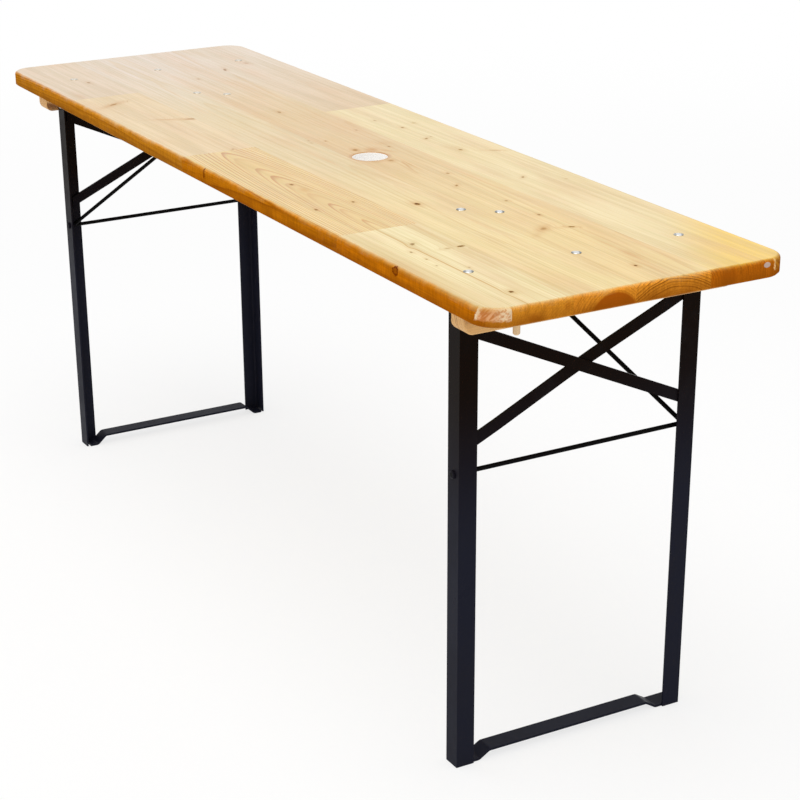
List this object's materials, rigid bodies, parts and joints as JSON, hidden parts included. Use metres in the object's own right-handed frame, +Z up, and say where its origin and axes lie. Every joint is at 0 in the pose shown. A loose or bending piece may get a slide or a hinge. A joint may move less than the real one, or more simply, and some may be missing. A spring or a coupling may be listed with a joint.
{
  "type": "folding beer garden table",
  "caption": "Long narrow folding table: glued pine top with an umbrella hole, angle steel leg frames that fold under it, rod braces and catches.",
  "frame": {"origin": "on the floor under the middle of the top", "axes": "+X along the top to the near end, +Y across it to the rear, +Z up"},
  "size_m": [1.8, 0.5, 0.7626],
  "materials": {
    "lacquered_pine": "clear gloss lacquer",
    "raw_wood": "raw planed wood",
    "black_paint": "semi-gloss black",
    "zinc_steel": "zinc plated",
    "spring_steel": "bare spring steel"
  },
  "bodies": {
    "top": {"front_board_1": "lacquered_pine", "front_board_2": "lacquered_pine", "front_board_3": "lacquered_pine", "front_board_4": "lacquered_pine", "inner_front_board": "lacquered_pine", "inner_rear_board": "lacquered_pine", "rear_board_1": "lacquered_pine", "rear_board_2": "lacquered_pine", "top_bolts": "zinc_steel", "top_washers": "zinc_steel", "top_nuts": "zinc_steel", "batten_screws": "zinc_steel", "pivot_rivets": "zinc_steel", "catch_pins": "zinc_steel", "near_batten": "raw_wood", "near_peg": "raw_wood", "near_hinge_rail": "black_paint", "near_latch_plate": "black_paint", "near_catch_spring": "spring_steel", "far_batten": "raw_wood", "far_peg": "raw_wood", "far_hinge_rail": "black_paint", "far_latch_plate": "black_paint", "far_catch_spring": "spring_steel"},
    "near_legs": {"near_front_leg": "black_paint", "near_rear_leg": "black_paint", "near_falling_bar": "black_paint", "near_rising_bar": "black_paint", "near_foot_bar": "black_paint"},
    "near_brace": {"near_brace_bent_rod": "black_paint", "near_brace_cross_rod": "black_paint", "near_brace_caps": "black_paint"},
    "near_catch": {"near_catch_pawl": "zinc_steel"},
    "far_legs": {"far_front_leg": "black_paint", "far_rear_leg": "black_paint", "far_falling_bar": "black_paint", "far_rising_bar": "black_paint", "far_foot_bar": "black_paint"},
    "far_brace": {"far_brace_bent_rod": "black_paint", "far_brace_cross_rod": "black_paint", "far_brace_caps": "black_paint"},
    "far_catch": {"far_catch_pawl": "zinc_steel"}
  },
  "joints": [
    {"name": "near_leg_fold", "type": "hinge", "parent": "top", "child": "near_legs", "pos_m": [0.745, 0, 0.712], "axis": [0, 1, 0], "range_deg": [0, 90]},
    {"name": "near_brace_swing", "type": "hinge", "parent": "near_legs", "child": "near_brace", "pos_m": [0.745, 0, 0.47], "axis": [0, 1, 0], "range_deg": [-133.2, 0]},
    {"name": "near_catch_lift", "type": "hinge", "parent": "top", "child": "near_catch", "pos_m": [0.488, 0, 0.725], "axis": [0, 1, 0], "range_deg": [0, 10], "stiffness_Nm_per_rad": 0.05, "springref_deg": -17.19, "deforming": ["near_catch_spring"]},
    {"name": "far_leg_fold", "type": "hinge", "parent": "top", "child": "far_legs", "pos_m": [-0.745, 0, 0.712], "axis": [0, -1, 0], "range_deg": [0, 90]},
    {"name": "far_brace_swing", "type": "hinge", "parent": "far_legs", "child": "far_brace", "pos_m": [-0.745, 0, 0.47], "axis": [0, -1, 0], "range_deg": [-133.2, 0]},
    {"name": "far_catch_lift", "type": "hinge", "parent": "top", "child": "far_catch", "pos_m": [-0.488, 0, 0.725], "axis": [0, -1, 0], "range_deg": [0, 10], "stiffness_Nm_per_rad": 0.05, "springref_deg": -17.19, "deforming": ["far_catch_spring"]}
  ],
  "couplings": [
    {"joint": "near_brace_swing", "follows": "near_leg_fold", "ratio": -1.4789},
    {"joint": "far_brace_swing", "follows": "far_leg_fold", "ratio": -1.4789}
  ]
}
